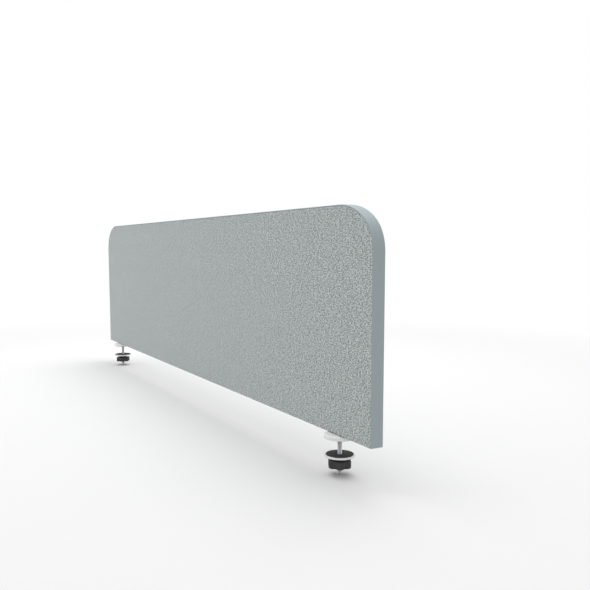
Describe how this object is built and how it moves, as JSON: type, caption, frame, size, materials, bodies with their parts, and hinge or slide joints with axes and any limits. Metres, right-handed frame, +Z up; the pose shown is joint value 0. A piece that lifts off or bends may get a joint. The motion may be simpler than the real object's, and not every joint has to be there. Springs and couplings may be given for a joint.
{
  "type": "acoustic divider screen",
  "caption": "Fabric-covered acoustic desk divider with round upper corners and a smooth edge trim, held on the seam between desktops by disc feet with screw clamps.",
  "frame": {"origin": "middle of the screen's length, in its mid-plane, on the plane where the feet stand on the desktops", "axes": "+X along the screen towards its near end in the picture, +Y through the screen away from the front face, +Z up"},
  "size_m": [1.6, 0.056, 0.4742],
  "materials": {
    "cover_cloth": "light grey-blue crepe upholstery cloth with a fine irregular fleck",
    "edge_trim": "smooth matte edging in the cloth's colour",
    "timber": "sawn and sanded fibreboard",
    "dowel": "fluted beech dowel",
    "foam": "open-cell lining foam",
    "infill": "felted sound-absorbing wadding",
    "staple": "galvanised staple wire",
    "bottom_strip": "dark grey closing strip",
    "zinc_steel": "bright zinc-plated steel",
    "white_steel": "satin white powder coat",
    "grip_pad": "thin black rubber",
    "knob": "black moulded nylon",
    "bush": "turned brass"
  },
  "bodies": {
    "screen": {"front_cover": "cover_cloth", "back_cover": "cover_cloth", "edge_trim": "edge_trim", "top_rail": "timber", "bottom_rail": "timber", "near_end_stile": "timber", "far_end_stile": "timber", "near_middle_stile": "timber", "far_middle_stile": "timber", "near_corner_block": "timber", "far_corner_block": "timber", "frame_dowels": "dowel", "front_foam": "foam", "back_foam": "foam", "near_infill": "infill", "middle_infill": "infill", "far_infill": "infill", "cover_staples": "staple", "near_bottom_strip": "bottom_strip", "middle_bottom_strip": "bottom_strip", "far_bottom_strip": "bottom_strip", "near_fixing_plate": "zinc_steel", "near_threaded_boss": "zinc_steel", "near_plate_screws": "zinc_steel", "near_seat_washer": "zinc_steel", "near_jam_nut": "zinc_steel", "near_stud": "zinc_steel", "near_foot_disc": "white_steel", "near_foot_pad": "grip_pad", "far_fixing_plate": "zinc_steel", "far_threaded_boss": "zinc_steel", "far_plate_screws": "zinc_steel", "far_seat_washer": "zinc_steel", "far_jam_nut": "zinc_steel", "far_stud": "zinc_steel", "far_foot_disc": "white_steel", "far_foot_pad": "grip_pad"},
    "near_jaw": {"near_jaw_pad": "grip_pad", "near_jaw_disc": "white_steel", "near_thrust_washer": "zinc_steel"},
    "near_knob": {"near_hand_knob": "knob", "near_knob_bush": "bush"},
    "far_jaw": {"far_jaw_pad": "grip_pad", "far_jaw_disc": "white_steel", "far_thrust_washer": "zinc_steel"},
    "far_knob": {"far_hand_knob": "knob", "far_knob_bush": "bush"}
  },
  "joints": [
    {"name": "near_jaw_slide", "type": "slide", "parent": "screen", "child": "near_jaw", "axis": [0, 0, 1], "range_m": [-0.012, 0.01]},
    {"name": "near_knob_turn", "type": "hinge", "parent": "near_jaw", "child": "near_knob", "pos_m": [0.688, 0, -0.0437], "axis": [0, 0, 1], "range_deg": [-3456, 2880]},
    {"name": "far_jaw_slide", "type": "slide", "parent": "screen", "child": "far_jaw", "axis": [0, 0, 1], "range_m": [-0.012, 0.01]},
    {"name": "far_knob_turn", "type": "hinge", "parent": "far_jaw", "child": "far_knob", "pos_m": [-0.688, 0, -0.0437], "axis": [0, 0, 1], "range_deg": [-3456, 2880]}
  ],
  "couplings": [
    {"joint": "near_knob_turn", "follows": "near_jaw_slide", "rad_per_m": 5026.5},
    {"joint": "far_knob_turn", "follows": "far_jaw_slide", "rad_per_m": 5026.5}
  ]
}
